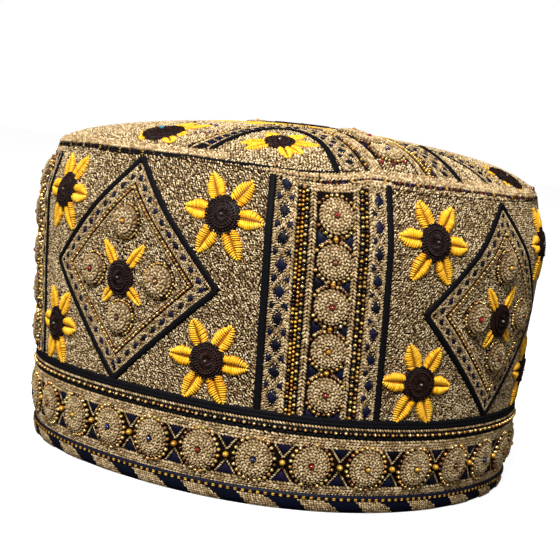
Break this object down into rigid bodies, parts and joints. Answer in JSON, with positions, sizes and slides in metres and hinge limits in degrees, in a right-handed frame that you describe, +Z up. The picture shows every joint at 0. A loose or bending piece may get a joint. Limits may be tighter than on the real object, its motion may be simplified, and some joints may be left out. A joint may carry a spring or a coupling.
{
  "type": "embroidered cap",
  "caption": "Balochi cap: barrel-shaped embroidered side wall, raised hem band over a rolled rim, and a domed crown, with raised medallion bands, diamonds and sunflowers.",
  "frame": {"origin": "centre of the cap in plan, on the plane that its rim rests on", "axes": "+Z up towards the crown; the middle of the front medallion band looks along -Y"},
  "size_m": [0.1956, 0.2018, 0.1282],
  "materials": {
    "wall_cloth": "matt",
    "rim_cloth": "matt",
    "hem_cloth": "matt",
    "crown_cloth": "matt",
    "braid_thread": "matt",
    "band_thread": "matt",
    "diamond_thread": "matt",
    "flower_silk": "matt"
  },
  "bodies": {
    "root": {"side_wall": "wall_cloth", "rim_binding": "rim_cloth", "hem_band": "hem_cloth", "crown_panel": "crown_cloth", "crown_braid": "braid_thread", "band_front": "band_thread", "band_right": "band_thread", "band_back": "band_thread", "band_left": "band_thread", "diamond_front_right": "diamond_thread", "flower_front_right_upper_left": "flower_silk", "flower_front_right_upper_right": "flower_silk", "flower_front_right_lower_left": "flower_silk", "flower_front_right_lower_right": "flower_silk", "diamond_back_right": "diamond_thread", "flower_back_right_upper_left": "flower_silk", "flower_back_right_upper_right": "flower_silk", "flower_back_right_lower_left": "flower_silk", "flower_back_right_lower_right": "flower_silk", "diamond_back_left": "diamond_thread", "flower_back_left_upper_left": "flower_silk", "flower_back_left_upper_right": "flower_silk", "flower_back_left_lower_left": "flower_silk", "flower_back_left_lower_right": "flower_silk", "diamond_front_left": "diamond_thread", "flower_front_left_upper_left": "flower_silk", "flower_front_left_upper_right": "flower_silk", "flower_front_left_lower_left": "flower_silk", "flower_front_left_lower_right": "flower_silk", "crown_band_front": "band_thread", "crown_band_back": "band_thread", "crown_flower_1a": "flower_silk", "crown_flower_1b": "flower_silk", "crown_flower_2a": "flower_silk", "crown_flower_2b": "flower_silk", "crown_flower_3a": "flower_silk", "crown_flower_3b": "flower_silk", "crown_flower_middle": "flower_silk"}
  },
  "joints": []
}
